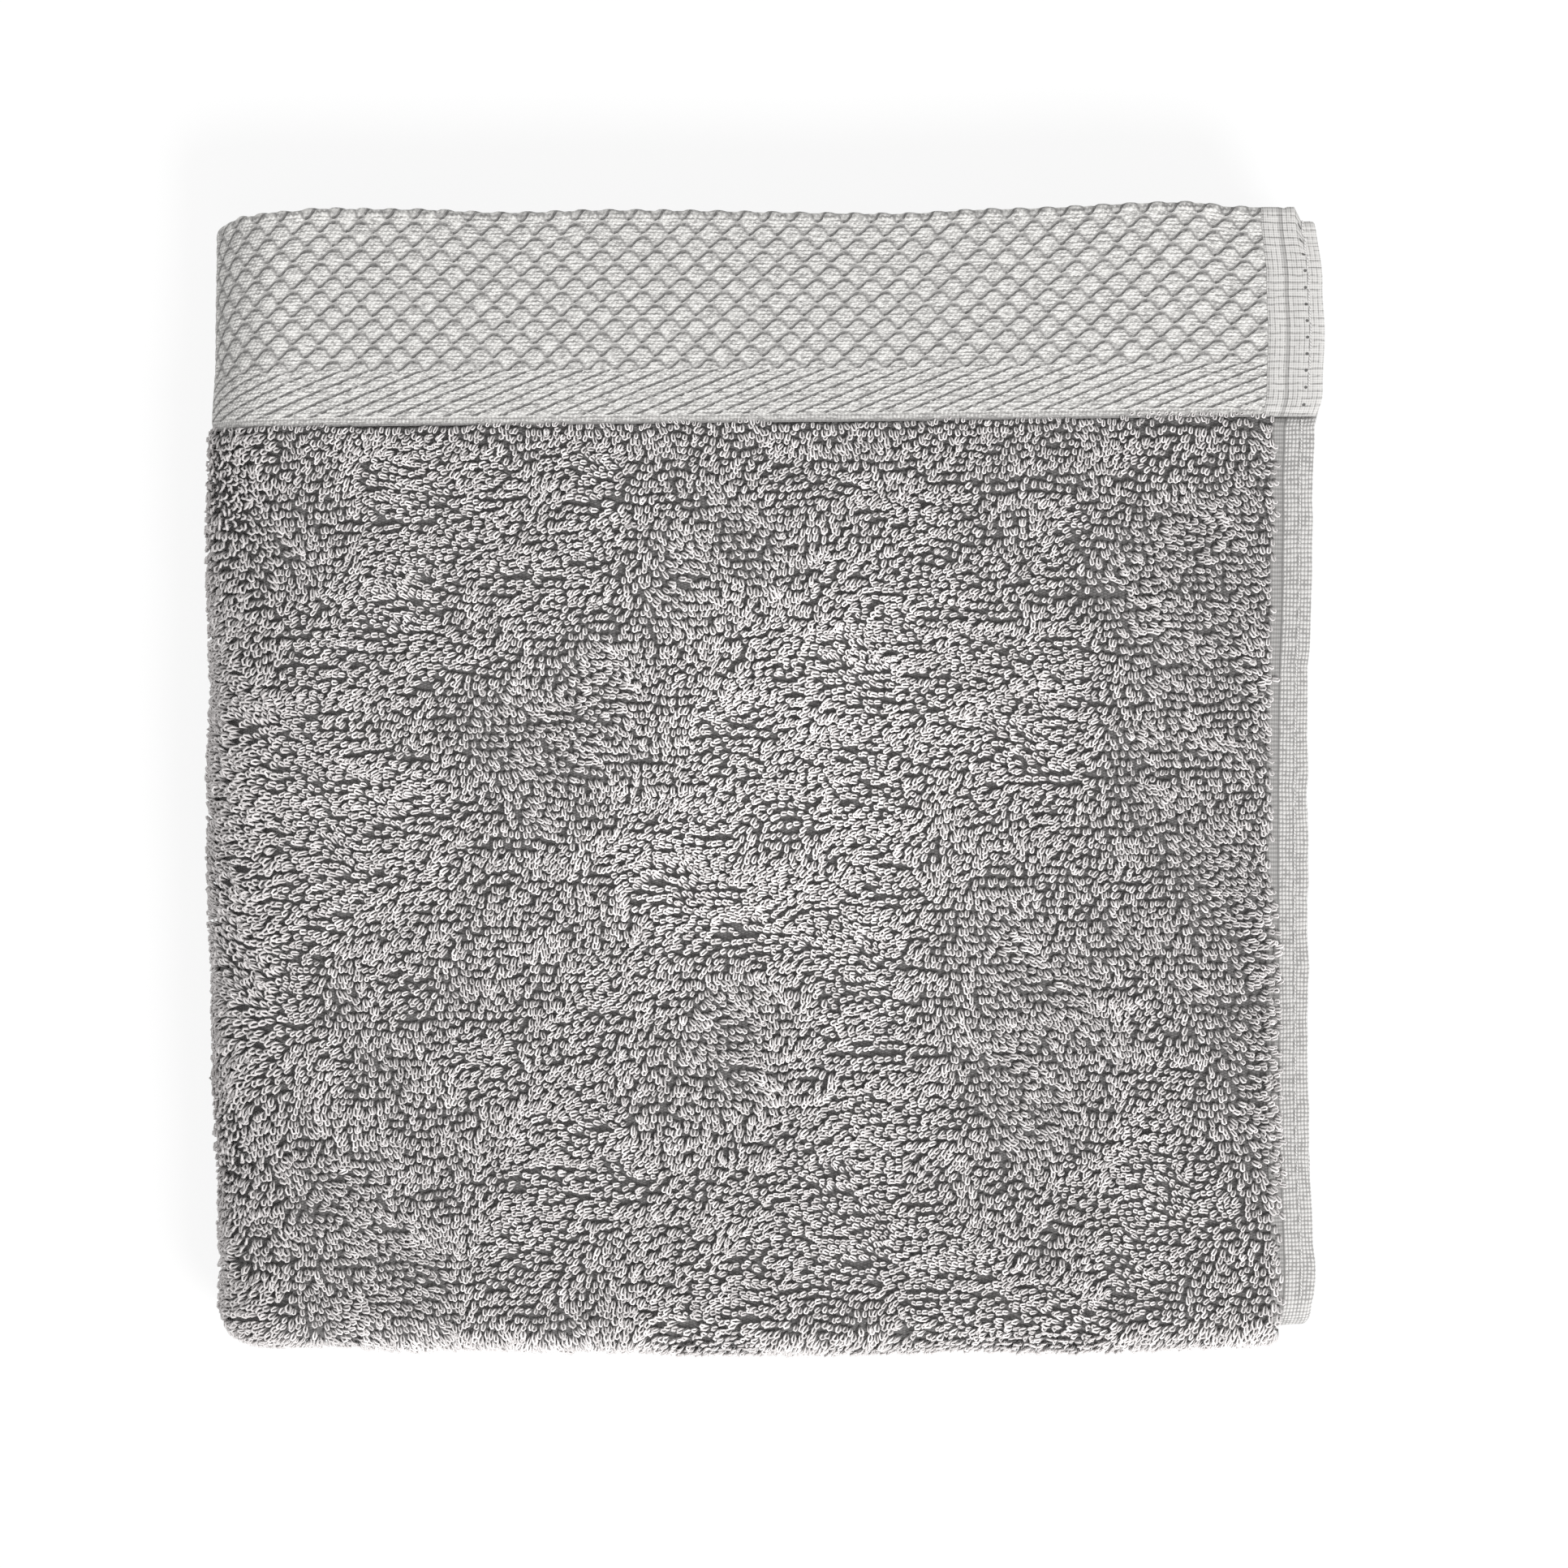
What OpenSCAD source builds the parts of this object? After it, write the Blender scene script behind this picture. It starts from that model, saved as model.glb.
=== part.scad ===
// Folded terry towel.
//
// The cloth is folded in half twice across its length and then once along it,
// so that the last fold is the round left side. Each half of that last fold is
// a stack of four layers and opens like a book.
// X runs from the last fold to the selvedges, Y towards the border, Z up.
// The origin is in the middle of the underside.
//
// Every cloth piece is drawn as a section in [r, y], where r is the height
// above the middle plane of the folded towel. The section runs straight along
// X and then turns a quarter round the last fold.

/* [Folded towel] */
// Width, from the last fold to the selvedges
folded_w = 250; // [150:1:400]
// Depth, from the far folds to the border edge
folded_d = 260; // [200:1:420]
// Room between the two halves of the last fold
half_gap = 0.5; // [0.3:0.1:2]

/* [Terry cloth] */
// Thickness of one layer, with the loops of both sides
layer_t = 4.25; // [2.5:0.05:8]
// Room between two layers
layer_gap = 0.25; // [0.1:0.05:1]
// How far the inner folds stay back from the border edge
inner_setback = 4; // [1:0.5:15]

/* [Woven border] */
// Height of the border that shows on the outside
border_h = 50; // [30:1:90]
// Thickness of the flat border cloth
border_t = 1.5; // [0.8:0.1:1.8]
// How far the border lies below the tips of the loops
border_drop = 0.6; // [0:0.1:1.5]
// Depth of the part turned under, with its end hem
turned_d = 28; // [22:1:60]

/* [Hems] */
// Width of the side hem beside the terry
side_hem_w = 9; // [5:0.5:16]
// Width of the side hem beside the border
border_hem_w = 12; // [6:0.5:20]
// Thickness of the side hem
side_hem_t = 2; // [1:0.1:2.4]
// Thickness of the side hem beside the border
border_hem_t = 1.9; // [1:0.1:2]
// How far the side hem's folds stay back from the terry folds
hem_setback = 3; // [0:0.5:8]
// Width of the end hems
end_hem_w = 12; // [6:0.5:18]
// Thickness of the end hems
end_hem_t = 2.4; // [1.5:0.1:2.6]
// How far the end hems stay back from the selvedges
end_hem_inset = 0.5; // [0:0.5:4]

/* [Stitching] */
// Distance from one stitch to the next
stitch_pitch = 4.05; // [2:0.05:8]
// Length of one stitch
stitch_l = 2.7; // [1:0.1:6]
// Thickness of the sewing thread
thread_d = 0.5; // [0.2:0.05:1]
// Distance of the side seam from the selvedge
seam_inset = 3; // [1.5:0.5:6]

/* [Hidden] */
$fn = 64;
terry_colour = [0.62, 0.60, 0.60];
border_colour = [0.74, 0.73, 0.72];
hem_colour = [0.77, 0.76, 0.75];
thread_colour = [0.85, 0.84, 0.82];

half_t = half_gap / 2 + 4 * layer_t + 3 * layer_gap;
mid_z = half_t;
// Axis of the last fold, parallel to Y
fold_x = -folded_w / 2 + half_t;
right_x = folded_w / 2;
near_y = folded_d / 2;

// Middle of layer k: 0 lies at the middle plane, 3 on the outside
function layer_mid(k) = half_gap / 2 + layer_t / 2 + k * (layer_t + layer_gap);
layer_pitch = layer_t + layer_gap;
// The far folds turn about one line, the inner near fold about another
far_mid = (layer_mid(0) + layer_mid(3)) / 2;
far_y = -folded_d / 2 + 1.5 * layer_pitch + layer_t / 2;
inner_y = near_y - inner_setback - layer_pitch / 2 - layer_t / 2;

border_y = near_y - border_h;
border_out = half_t - border_drop;
// The turned-under part lies as close behind the border as two layers do
turn_gap = layer_gap;
turn_y = near_y - turned_d;
// The end hem lies under the thicker of the border and its side hem
end_out = border_out - max(border_t, border_hem_t) - turn_gap;

inner_end_y = near_y - inner_setback - layer_gap;
inner_hem_y = inner_end_y - end_hem_w;
inner_border_y = inner_end_y - border_h;

terry_x = right_x - side_hem_w;
border_x = right_x - border_hem_w;
end_hem_x = right_x - end_hem_inset;
seam_x = right_x - seam_inset;

// ---- sections in [r, y]

module strip(r_mid, t, y0, y1) {
    translate([r_mid - t / 2, y0]) square([t, y1 - y0]);
}

// Half ring about [r_mid, y], on the side of larger y when side is 1
module bend(r_mid, y, mean, t, side) {
    outer = mean + t / 2;
    translate([r_mid, y]) intersection() {
        difference() {
            circle(outer);
            circle(mean - t / 2);
        }
        translate([-outer, side > 0 ? 0 : -outer]) square([2 * outer, outer]);
    }
}

// The cloth's own line through the four layers, from the outer border to the inner one
module cloth_line(t, setback) {
    y_far = far_y + setback;
    y_near = inner_y - setback;
    strip(layer_mid(3), t, y_far, border_y);
    bend(far_mid, y_far, 1.5 * layer_pitch, t, -1);
    strip(layer_mid(0), t, y_far, y_near);
    bend((layer_mid(0) + layer_mid(1)) / 2, y_near, layer_pitch / 2, t, 1);
    strip(layer_mid(1), t, y_far, y_near);
    bend(far_mid, y_far, layer_pitch / 2, t, -1);
    strip(layer_mid(2), t, y_far, inner_border_y);
}

// Border cloth that goes over the near edge and back under itself
module turned_line(r_out, t, y0, y1) {
    mean = (t + turn_gap) / 2;
    y_turn = near_y - mean - t / 2;
    strip(r_out - t / 2, t, y0, y_turn);
    bend(r_out - t - turn_gap / 2, y_turn, mean, t, 1);
    strip(r_out - 1.5 * t - turn_gap, t, y1, y_turn);
}

// ---- solids of the upper half

module along_x(x0, x1) {
    translate([x1, 0, mid_z]) rotate([0, -90, 0]) linear_extrude(height = x1 - x0) children();
}

module round_last_fold() {
    difference() {
        translate([fold_x, 0, mid_z]) rotate([90, 0, 180]) rotate_extrude(angle = 90) children();
        translate([fold_x - half_t - 1, -folded_d, mid_z - half_gap])
            cube([half_t + 1, 2 * folded_d, 1.5 * half_gap]);
    }
}

// A section from the last fold to x1
module folded_cloth(x1) {
    union() {
        along_x(fold_x, x1) children();
        round_last_fold() children();
    }
}

// Draws its children as the upper half, or turned over as the lower one
module half(upper) {
    if (upper) children();
    else translate([0, 0, 2 * mid_z]) mirror([0, 0, 1]) children();
}

// One stitch: half a thread, flat side down at the origin, along X
module stitch() {
    intersection() {
        translate([-stitch_l / 2, 0, 0]) rotate([0, 90, 0]) cylinder(d = thread_d, h = stitch_l);
        translate([-stitch_l / 2, -thread_d, 0]) cube([stitch_l, 2 * thread_d, thread_d]);
    }
}

// A row of stitches along X from x0 to x1
module stitch_row(x0, x1) {
    count = floor((x1 - x0 - stitch_l) / stitch_pitch);
    start = (x0 + x1 - count * stitch_pitch) / 2;
    for (i = [0 : count]) translate([start + i * stitch_pitch, 0, 0]) stitch();
}

// ---- pieces

module terry(upper) {
    color(terry_colour) half(upper) folded_cloth(terry_x) cloth_line(layer_t, 0);
}

module border(upper) {
    color(border_colour) half(upper) folded_cloth(border_x)
        turned_line(border_out, border_t, border_y, turn_y + end_hem_w);
}

module end_hem(upper) {
    color(hem_colour) half(upper) folded_cloth(end_hem_x)
        strip(end_out - end_hem_t / 2, end_hem_t, turn_y, turn_y + end_hem_w);
}

module end_stitching(upper) {
    color(thread_colour) half(upper)
        translate([0, turn_y + end_hem_w / 4, mid_z + end_out - end_hem_t]) rotate([180, 0, 0])
            stitch_row(fold_x, border_x);
}

module inner_border(upper) {
    color(border_colour) half(upper) folded_cloth(border_x)
        strip(layer_mid(2), border_t, inner_border_y, inner_hem_y);
}

module inner_end_hem(upper) {
    color(hem_colour) half(upper) folded_cloth(end_hem_x)
        strip(layer_mid(2), end_hem_t, inner_hem_y, inner_end_y);
}

module inner_end_stitching(upper) {
    color(thread_colour) half(upper)
        translate([0, inner_hem_y + end_hem_w / 4, mid_z + layer_mid(2) - end_hem_t / 2])
            rotate([180, 0, 0]) stitch_row(fold_x, border_x);
}

module side_hem(upper) {
    color(hem_colour) half(upper) {
        along_x(terry_x, right_x) cloth_line(side_hem_t, hem_setback);
        along_x(border_x, right_x) {
            turned_line(border_out, border_hem_t, border_y, turn_y + end_hem_w);
            strip(layer_mid(2), border_hem_t, inner_border_y, inner_hem_y);
        }
    }
}

module side_stitching(upper) {
    color(thread_colour) half(upper) {
        translate([seam_x, 0, mid_z + layer_mid(3) + side_hem_t / 2]) rotate([0, 0, 90])
            stitch_row(far_y + hem_setback, border_y);
        translate([seam_x, 0, mid_z + border_out]) rotate([0, 0, 90])
            stitch_row(border_y, near_y - border_hem_t);
    }
}

terry(false);  // lower_terry
border(false);  // lower_border
end_hem(false);  // lower_end_hem
end_stitching(false);  // lower_end_stitching
inner_border(false);  // lower_inner_border
inner_end_hem(false);  // lower_inner_end_hem
inner_end_stitching(false);  // lower_inner_end_stitching
side_hem(false);  // lower_side_hem
side_stitching(false);  // lower_side_stitching
terry(true);  // upper_terry
border(true);  // upper_border
end_hem(true);  // upper_end_hem
end_stitching(true);  // upper_end_stitching
inner_border(true);  // upper_inner_border
inner_end_hem(true);  // upper_inner_end_hem
inner_end_stitching(true);  // upper_inner_end_stitching
side_hem(true);  // upper_side_hem
side_stitching(true);  // upper_side_stitching
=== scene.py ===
import math

import bmesh
import bpy
import numpy as np
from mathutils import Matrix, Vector


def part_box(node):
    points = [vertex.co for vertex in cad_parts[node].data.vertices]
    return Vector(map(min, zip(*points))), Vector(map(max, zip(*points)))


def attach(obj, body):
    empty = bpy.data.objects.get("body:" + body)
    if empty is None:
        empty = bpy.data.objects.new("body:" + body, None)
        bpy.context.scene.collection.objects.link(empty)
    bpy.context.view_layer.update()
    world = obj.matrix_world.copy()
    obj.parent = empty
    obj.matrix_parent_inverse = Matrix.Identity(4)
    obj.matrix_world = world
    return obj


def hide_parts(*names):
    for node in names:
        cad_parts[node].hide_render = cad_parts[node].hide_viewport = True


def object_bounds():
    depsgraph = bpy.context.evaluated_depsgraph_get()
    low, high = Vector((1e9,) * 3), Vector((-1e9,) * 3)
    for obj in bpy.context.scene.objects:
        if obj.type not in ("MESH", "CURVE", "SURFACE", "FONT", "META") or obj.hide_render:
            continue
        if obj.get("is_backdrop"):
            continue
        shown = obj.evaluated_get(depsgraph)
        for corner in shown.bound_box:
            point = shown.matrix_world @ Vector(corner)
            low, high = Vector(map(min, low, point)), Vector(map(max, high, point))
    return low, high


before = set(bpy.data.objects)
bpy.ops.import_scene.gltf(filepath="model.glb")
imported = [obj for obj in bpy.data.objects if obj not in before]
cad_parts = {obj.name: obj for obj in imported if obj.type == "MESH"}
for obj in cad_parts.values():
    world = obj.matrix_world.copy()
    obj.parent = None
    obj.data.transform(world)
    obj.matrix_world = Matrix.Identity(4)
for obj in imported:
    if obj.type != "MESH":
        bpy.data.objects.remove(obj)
cad_low, cad_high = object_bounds()

# ---------------------------------------------------------------------------
# The camera looks straight down on the folded towel, which lies a little to
# the left of and above the middle of the view.

MM = 0.001
view_width = 354.0 * MM
lens = 150.0
film = 36.0
off_centre = Vector((6.1, -0.6)) * MM

camera = bpy.data.objects.new("camera", bpy.data.cameras.new("camera"))
bpy.context.scene.collection.objects.link(camera)
camera.data.lens = lens
camera.data.sensor_width = film
camera.data.clip_end = 20.0
camera.location = (off_centre.x, off_centre.y, cad_high.z + view_width * lens / film)
bpy.context.scene.camera = camera

# ---------------------------------------------------------------------------
# A white floor that keeps only a faint shadow, and soft light: a lamp near the
# lower right and an even white sky.

floor_material = bpy.data.materials.new("floor")
floor_material.use_nodes = True
floor_nodes = floor_material.node_tree.nodes
floor_nodes["Principled BSDF"].inputs["Base Color"].default_value = (0.9, 0.9, 0.9, 1)
floor_nodes["Principled BSDF"].inputs["Roughness"].default_value = 1.0
white_share = 0.88
glow = floor_nodes.new("ShaderNodeEmission")
seen = floor_nodes.new("ShaderNodeMixShader")
share = floor_nodes.new("ShaderNodeMath")
share.operation = "MULTIPLY"
share.inputs[1].default_value = white_share
floor_links = floor_material.node_tree.links
floor_links.new(floor_nodes.new("ShaderNodeLightPath").outputs["Is Camera Ray"], share.inputs[0])
floor_links.new(share.outputs[0], seen.inputs[0])
floor_links.new(floor_nodes["Principled BSDF"].outputs[0], seen.inputs[1])
floor_links.new(glow.outputs[0], seen.inputs[2])
floor_links.new(seen.outputs[0], floor_nodes["Material Output"].inputs[0])
floor_mesh = bpy.data.meshes.new("floor")
reach = 4.0
floor_mesh.from_pydata(
    [(-reach, -reach, 0), (reach, -reach, 0), (reach, reach, 0), (-reach, reach, 0)], [], [(0, 1, 2, 3)]
)
floor_mesh.materials.append(floor_material)
floor = bpy.data.objects.new("floor", floor_mesh)
bpy.context.scene.collection.objects.link(floor)
floor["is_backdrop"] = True


def soft_lamp(name, place, size, watts):
    lamp = bpy.data.objects.new(name, bpy.data.lights.new(name, "AREA"))
    bpy.context.scene.collection.objects.link(lamp)
    lamp.data.shape = "DISK"
    lamp.data.size = size
    lamp.data.energy = watts
    lamp.location = place
    lamp.rotation_euler = (-Vector(place)).to_track_quat("-Z", "Y").to_euler()


soft_lamp("key", (1.0, -1.3, 1.9), 0.9, 62.0)

world = bpy.data.worlds.new("sky")
world.use_nodes = True
world.node_tree.nodes["Background"].inputs["Color"].default_value = (1, 1, 1, 1)
world.node_tree.nodes["Background"].inputs["Strength"].default_value = 0.72
bpy.context.scene.world = world
bpy.context.scene.view_settings.view_transform = "Standard"

# ---------------------------------------------------------------------------
# The ground cloth of the terry: one woven cloth per half, folded through four
# layers, which the loops stand on. All other pieces lie on its folded line.

half_t = cad_high.z / 2 / MM
mid_z = half_t
terry_low, terry_high = (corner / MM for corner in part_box("upper_terry"))
half_gap = 2 * (terry_low.z - mid_z)
layer_gap = 0.25
layer_pitch = (half_t - half_gap / 2 + layer_gap) / 4
layer_t = layer_pitch - layer_gap
ground_t = 0.7
pile_t = (layer_t - ground_t) / 2

left_x = cad_low.x / MM
right_x = cad_high.x / MM
near_y = cad_high.y / MM
fold_x = left_x + half_t
round_l = half_t * math.pi / 2
terry_x = terry_high.x
border_low, border_high = (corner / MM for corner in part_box("upper_border"))
inner_low, inner_high = (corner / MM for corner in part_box("upper_inner_border"))
far_y = cad_low.y / MM + 1.5 * layer_pitch + layer_t / 2
inner_y = terry_high.y - layer_pitch / 2 - layer_t / 2

HALVES = {"upper": 1, "lower": -1}


def layer_mid(k):
    """Height of the middle of layer k over the middle plane; 3 is the outer layer."""
    return half_gap / 2 + layer_t / 2 + k * layer_pitch


class Line:
    """A line in the cloth's section: points (y, r), the outward side (ny, nr) and the distance s."""

    def __init__(self, start, heading, moves):
        points, headings, along = [start], [heading], [0.0]

        def go(length, distance):
            y, r = points[-1]
            points.append((y + length * math.cos(heading), r + length * math.sin(heading)))
            along.append(along[-1] + distance)

        for kind, *sizes in moves:
            if kind == "run":
                go(sizes[0], sizes[0])
                headings.append(heading)
                continue
            radius, turn = sizes
            bends = 24
            for _ in range(bends):
                heading += turn / bends / 2
                go(2 * radius * math.sin(abs(turn) / bends / 2), radius * abs(turn) / bends)
                heading += turn / bends / 2
                headings.append(heading)
        self.points = np.array(points)
        self.headings = np.array(headings)
        self.s = np.array(along)
        self.length = self.s[-1]

    def at(self, s, out=0.0):
        """(y, r, ny, nr) at the distances s, moved outwards by out."""
        y = np.interp(s, self.s, self.points[:, 0])
        r = np.interp(s, self.s, self.points[:, 1])
        angle = np.interp(s, self.s, self.headings)
        ny, nr = np.sin(angle), -np.cos(angle)
        return y + out * ny, r + out * nr, ny, nr

    def steps(self, step, ends=()):
        """Distances along the line about one step apart, with the corners and the given ends."""
        marks = np.unique(np.concatenate([self.s, ends]))
        parts = [
            np.linspace(a, b, max(1, math.ceil((b - a) / step)), endpoint=False)
            for a, b in zip(marks[:-1], marks[1:])
        ]
        return np.concatenate(parts + [[self.length]])


def eased(points, t):
    """A smooth line through a few points, level at each of them."""
    at = np.array([p[0] for p in points])
    value = np.array([p[1] for p in points])
    t = np.clip(t, at[0], at[-1])
    k = np.clip(np.searchsorted(at, t, side="right") - 1, 0, len(at) - 2)
    share = (t - at[k]) / (at[k + 1] - at[k])
    share = (1 - np.cos(np.pi * share)) / 2
    return value[k] + (value[k + 1] - value[k]) * share


def drift(x, y, cell, seed):
    """Smooth random value from -1 to 1 that changes over distances of about one cell."""
    rolls = np.random.RandomState(seed).uniform(-1, 1, (97, 89))
    u, v = x / cell + 450.3, y / cell + 450.7
    i, j = np.floor(u).astype(int), np.floor(v).astype(int)
    fu, fv = u - i, v - j
    fu, fv = fu * fu * (3 - 2 * fu), fv * fv * (3 - 2 * fv)
    a, b = rolls[i % 97, j % 89], rolls[(i + 1) % 97, j % 89]
    c, d = rolls[i % 97, (j + 1) % 89], rolls[(i + 1) % 97, (j + 1) % 89]
    return (a * (1 - fu) + b * fu) * (1 - fv) + (c * (1 - fu) + d * fu) * fv


# How far the outline of the soft stack strays from straight, along each side
LEFT_STRAY = [(-130, 2.4), (-111, 2.4), (-89, 1.9), (-67, 0.8), (-45, 0.6), (-22, -0.4), (0, -0.3),
              (21, 0.5), (43, -0.4), (65, -0.6), (80, -0.2), (99, 0.7), (130, 1.0)]
RIGHT_STRAY = [(-130, -0.4), (-111, 1.0), (-67, 0.1), (-22, -0.3), (21, -0.6), (43, 0.0), (65, 0.5),
               (77, 1.2), (86, 3.2), (100, 3.8), (112, 3.2), (130, 1.0)]
NEAR_STRAY = [(-125, -4.4), (-117, -1.6), (-109, -0.8), (-99, 0.0), (-79, -0.2), (-57, -1.0), (-35, -0.5),
              (31, -1.3), (54, -0.3), (97, 0.9), (108, -0.2), (125, -0.4)]
FAR_STRAY = [(-125, 1.4), (-101, 1.9), (-79, 1.0), (-35, 0.8), (-13, -0.4), (8, -0.2), (54, 1.0),
             (75, 0.4), (97, 1.0), (108, 1.4), (125, 2.8)]
border_tilt = 0.0105
border_lift = 1.2
sway_reach = 28


def settled(p):
    """The stack's points as the soft cloth lies: a wavy outline, a tilted border, a gently uneven top."""
    x, y, z = p[:, 0], p[:, 1], p[:, 2]
    to_left = np.clip((60 - x) / 185, 0, 1) ** 2
    to_right = np.clip((x - 40) / 85, 0, 1) ** 2
    to_near = np.clip((y - 60) / 70, 0, 1) ** 2
    to_far = np.clip((-y - 40) / 90, 0, 1) ** 2
    move_x = eased(LEFT_STRAY, y) * to_left + eased(RIGHT_STRAY, y) * to_right
    move_x = move_x + 0.8 * drift(y, z * 7, 60, 7) * to_right
    move_y = eased(NEAR_STRAY, x) * to_near + eased(FAR_STRAY, x) * to_far
    move_y = move_y + 0.5 * drift(x, z * 7, 60, 8) * (to_near + to_far)
    move_y = move_y + (border_tilt * x + border_lift) * np.exp(-(((y - border_low.y) / sway_reach) ** 2))
    rise = 0.35 * drift(x, y, 55, 3) + 0.15 * drift(x, y, 23, 4)
    move_z = (rise - 0.25) * z / (2 * mid_z)
    return np.stack([x + move_x, y + move_y, z + move_z], axis=1)


def over_the_fold(side, x, y, r):
    """Section points (y, r) at the flat distance x. Past the last fold's start they turn round it."""
    turn = np.clip((fold_x - x) / half_t, 0, math.pi / 2)
    flat = np.maximum(x, fold_x)
    return np.stack([flat - r * np.sin(turn), y, mid_z + side * r * np.cos(turn)], axis=1)


def outwards(side, x, ny, nr):
    """Directions (ny, nr) of the section, turned as over_the_fold turns its points."""
    turn = np.clip((fold_x - x) / half_t, 0, math.pi / 2)
    return np.stack([-nr * np.sin(turn), ny, side * nr * np.cos(turn)], axis=1)


def rounded(distance, radius):
    """Rises from 0 to 1 like the rim of a rounded edge."""
    share = np.clip(distance / radius, 0, 1)
    return np.sqrt(share * (2 - share))


def surface(name, half, line, s, x, out, material, around=False, bake_rows=1, back=0.0):
    """A cloth surface: x and out, each (rows, columns), swept along the line at the distances s.

    around joins the last column to the first, and back moves points towards the far end.
    The map "cloth" holds the distances across and along in metres, and the map "OFBake"
    the same in the unit square, cut into rows."""
    side = HALVES[half]
    s = np.asarray(s, dtype=float)
    x, out = np.broadcast_arrays(x, out)
    x, out = np.broadcast_to(x, (len(s), x.shape[-1])), np.broadcast_to(out, (len(s), x.shape[-1]))
    rows, columns = x.shape
    y, r, ny, nr = (part[:, None] for part in line.at(s))
    points = over_the_fold(side, x.ravel(), (y + out * ny - back).ravel(), (r + out * nr).ravel())
    points = settled(points)
    i, j = np.meshgrid(np.arange(rows - 1), np.arange(columns if around else columns - 1), indexing="ij")
    k = (j + 1) % columns
    corners = [(i, j), (i + 1, j), (i + 1, k), (i, k)]
    steps_on = [(0, 0), (1, 0), (1, 1), (0, 1)]
    if side < 0:
        corners, steps_on = corners[::-1], steps_on[::-1]
    faces = np.stack([a * columns + b for a, b in corners], axis=-1).reshape(-1, 4)
    middle = rows // 2
    across = np.hypot(np.diff(x[middle], append=x[middle, 0]), np.diff(out[middle], append=out[middle, 0]))
    across = np.concatenate([[0], np.cumsum(across)])
    width = across[-1] if around else across[-2]
    mesh = bpy.data.meshes.new(name)
    mesh.from_pydata((points * MM).tolist(), [], faces.tolist())
    p_at = np.stack([across[j + b] for _, b in steps_on], axis=-1)
    s_at = np.stack([s[i + a] for a, _ in steps_on], axis=-1)
    cloth = np.stack([p_at, s_at], axis=-1) * MM
    row_l = (s[-1] - s[0]) / bake_rows
    row = np.clip(np.floor((s_at.mean(axis=-1, keepdims=True) - s[0]) / row_l), 0, bake_rows - 1)
    share = np.clip((s_at - s[0]) / row_l - row, 0, 1)
    baked = np.stack([share * 0.98 + 0.01, (row + 0.03 + 0.94 * p_at / width) / bake_rows], axis=-1)
    for map_name, pairs in (("cloth", cloth), ("OFBake", baked)):
        layer = mesh.uv_layers.new(name=map_name)
        layer.data.foreach_set("uv", pairs.reshape(-1))
    if around:
        welded = bmesh.new()
        welded.from_mesh(mesh)
        bmesh.ops.remove_doubles(welded, verts=welded.verts, dist=1e-7)
        welded.to_mesh(mesh)
        welded.free()
    mesh.shade_smooth()
    mesh.materials.append(material)
    piece = bpy.data.objects.new(name, mesh)
    bpy.context.scene.collection.objects.link(piece)
    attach(piece, f"{half}_half")
    return piece


def strip(name, half, line, step, x_values, thickness, material, edge=0.8, **more):
    """A closed strip of cloth with rounded edges: x_values wide, along the whole line."""
    ends = [a for e in (0.15, 0.4, 1.0) for a in (e * edge, line.length - e * edge)]
    s = line.steps(step, ends)
    low, high = x_values[0], x_values[-1]
    x = np.unique(np.concatenate([x_values, [low + 0.15 * edge, low + 0.5 * edge, low + edge],
                                  [high - 0.15 * edge, high - 0.5 * edge, high - edge]]))
    rim = thickness / 2 * rounded(np.minimum(x - low, high - x), edge)
    at_ends = rounded(np.minimum(s, line.length - s), edge)[:, None]
    x_around = np.concatenate([x, x[-2:0:-1]])
    out = np.concatenate([rim, -rim[-2:0:-1]])[None, :] * at_ends
    return surface(name, half, line, s, x_around, out, material, around=True, **more)


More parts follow.
